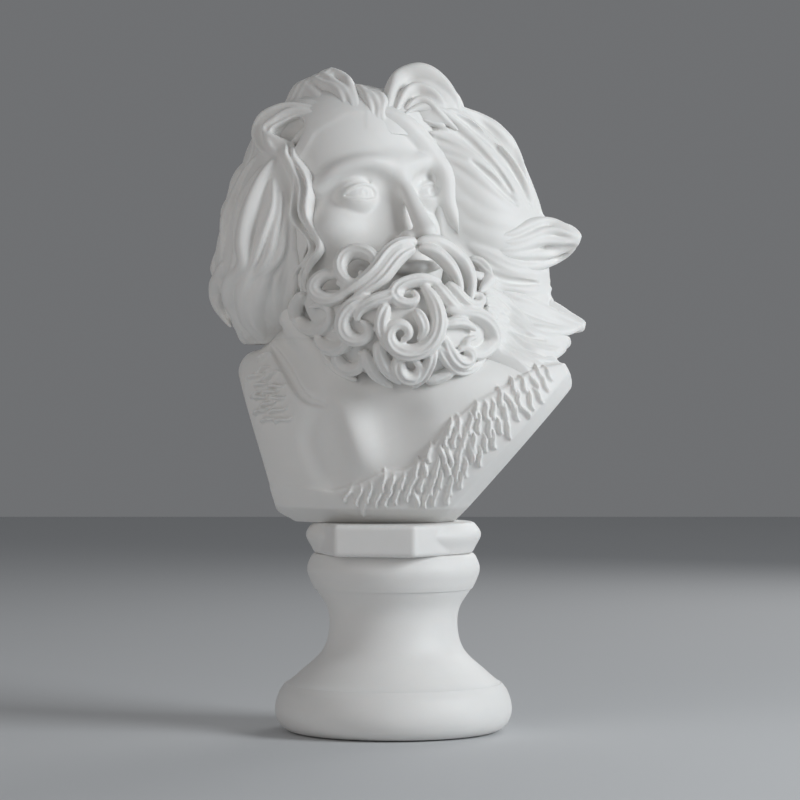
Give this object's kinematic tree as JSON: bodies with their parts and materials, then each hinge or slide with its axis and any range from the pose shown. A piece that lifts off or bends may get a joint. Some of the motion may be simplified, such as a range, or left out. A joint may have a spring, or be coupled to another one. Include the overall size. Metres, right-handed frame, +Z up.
{
  "type": "portrait bust on a socle",
  "caption": "White stone bust of a bearded man with windswept hair and a fur mantle, on a turned round socle, clamped by a central tie rod.",
  "frame": {"origin": "centre of the round foot, on the surface that it rests on", "axes": "+Z up along the socle's axis; the chest faces -Y; +X is the viewer's right"},
  "size_m": [0.2862, 0.223, 0.511],
  "materials": {
    "cast_stone": "matte",
    "socle_stone": "matte",
    "steel": "satin",
    "felt": "matte"
  },
  "bodies": {
    "root": {"bust_plinth": "cast_stone", "chest": "cast_stone", "head": "cast_stone", "beard": "cast_stone", "hair_left": "cast_stone", "hair_right": "cast_stone", "hair_back": "cast_stone", "hair_crown": "cast_stone", "crown_lock_left": "cast_stone", "crown_lock_right": "cast_stone", "flying_lock_upper": "cast_stone", "flying_lock_lower": "cast_stone", "socle_base": "socle_stone", "socle_waist": "socle_stone", "socle_cap": "socle_stone", "threaded_rod": "steel", "rod_anchor": "steel", "rod_washer": "steel", "spring_washer": "steel", "rod_nut": "steel", "locating_pins": "steel", "neck_dowel": "steel", "lock_pins": "steel", "felt_ring": "felt"}
  },
  "joints": []
}
